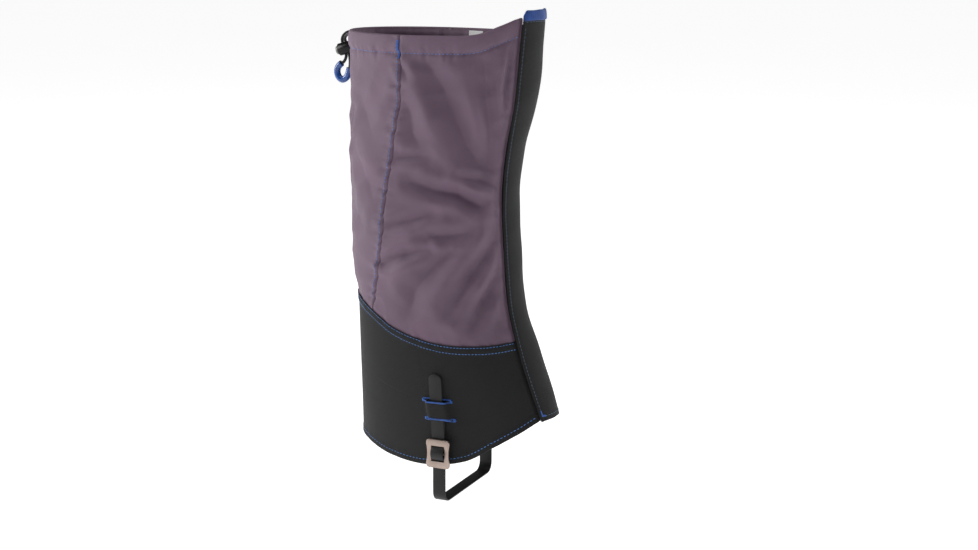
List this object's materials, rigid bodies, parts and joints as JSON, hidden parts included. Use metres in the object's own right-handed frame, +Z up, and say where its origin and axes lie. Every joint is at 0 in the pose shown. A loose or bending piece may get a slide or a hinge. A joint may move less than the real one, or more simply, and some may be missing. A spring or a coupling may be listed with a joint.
{
  "type": "hiking gaiter",
  "caption": "Knee-high hiking gaiter with a hook-and-loop front closure, drawcord top with cord lock, ankle panel, lace hook and a strap under the boot with a metal buckle.",
  "frame": {"origin": "on the leg's axis, level with the underside of the strap that passes under the boot", "axes": "+Z up the leg, -Y towards the toe, -X towards the wearer's right, where the buckle is"},
  "size_m": [0.1215, 0.241, 0.4755],
  "materials": {
    "purple_cloth": "tight plain-weave nylon with a slight sheen",
    "black_cloth": "dense matt pack cloth",
    "black_tape": "ribbed binding tape",
    "hook_and_loop": "hooks and brushed loops",
    "blue_tape": "ribbed binding tape",
    "blue_thread": "buttonhole stitching",
    "white_label": "satin label tape, blank",
    "black_cord": "braided cord",
    "blue_tube": "glossy soft tube",
    "black_plastic": "fine moulded grain",
    "grey_plastic": "fine moulded grain",
    "strap_rubber": "smooth satin rubber webbing",
    "nickel": "warm satin nickel plating",
    "steel": "plated spring steel"
  },
  "bodies": {
    "sleeve": {"upper_outer_panel": "purple_cloth", "upper_inner_panel": "purple_cloth", "calf_panel": "purple_cloth", "ankle_outer_panel": "black_cloth", "ankle_inner_panel": "black_cloth", "upper_slot_binding": "blue_thread", "lower_slot_binding": "blue_thread", "hem_facing_outer": "black_tape", "hem_facing_inner": "black_tape", "ankle_seam_tape_outer": "black_tape", "ankle_seam_tape_inner": "black_tape", "side_seam_tape_outer": "purple_cloth", "side_seam_tape_inner": "purple_cloth", "heel_seam_tape": "black_tape", "front_flap_lower": "black_cloth", "underlap": "black_cloth", "flap_hook_tape_lower": "hook_and_loop", "loop_tape": "hook_and_loop", "lace_hook_tab": "black_tape", "channel_lining": "purple_cloth", "eyelet_outer": "black_plastic", "eyelet_inner": "black_plastic", "care_label": "white_label", "drawcord_loop": "black_cord", "cord_sleeve": "blue_tube", "drawcord_outer_run": "black_cord", "drawcord_inner_run": "black_cord", "buckle_anchor_loop": "black_tape", "strap_anchor_patch": "black_cloth"},
    "flap": {"front_flap": "black_cloth", "flap_hook_tape": "hook_and_loop", "pull_tab": "blue_tape"},
    "lock": {"cord_lock_body": "black_plastic", "cord_lock_spring": "steel"},
    "lock_button": {"cord_lock_button": "grey_plastic"},
    "tail": {"strap_tail": "strap_rubber"},
    "stirrup": {"instep_strap": "strap_rubber"},
    "buckle": {"buckle_frame": "nickel", "strap_bend": "strap_rubber"},
    "hook": {"lace_hook": "steel"}
  },
  "joints": [
    {"name": "flap_peel", "type": "hinge", "parent": "sleeve", "child": "flap", "pos_m": [-0.025, -0.089, 0.465], "axis": [0.0075, 0.0827, -0.9965], "range_deg": [0, 75]},
    {"name": "lock_slide", "type": "slide", "parent": "sleeve", "child": "lock", "axis": [0, 0.2756, 0.9613], "range_m": [0, 0.002]},
    {"name": "lock_button_press", "type": "slide", "parent": "lock", "child": "lock_button", "axis": [0, -0.9613, 0.2756], "range_m": [0, 0.002], "stiffness_N_per_m": 600},
    {"name": "strap_feed", "type": "slide", "parent": "sleeve", "child": "tail", "axis": [0, 0.0619, 0.9981], "range_m": [0, 0.01]},
    {"name": "stirrup_lift", "type": "slide", "parent": "sleeve", "child": "stirrup", "axis": [0, 0, 1], "range_m": [0, 0.005]},
    {"name": "buckle_rock", "type": "hinge", "parent": "sleeve", "child": "buckle", "pos_m": [-0.0587, -0.0146, 0.0504], "axis": [0, 1, 0], "range_deg": [-3.5, 3.5]},
    {"name": "lace_hook_swing", "type": "hinge", "parent": "sleeve", "child": "hook", "pos_m": [0, -0.0974, 0.108], "axis": [1, 0, 0], "range_deg": [0, 60]}
  ],
  "couplings": [
    {"joint": "stirrup_lift", "follows": "strap_feed", "ratio": 0.5}
  ]
}
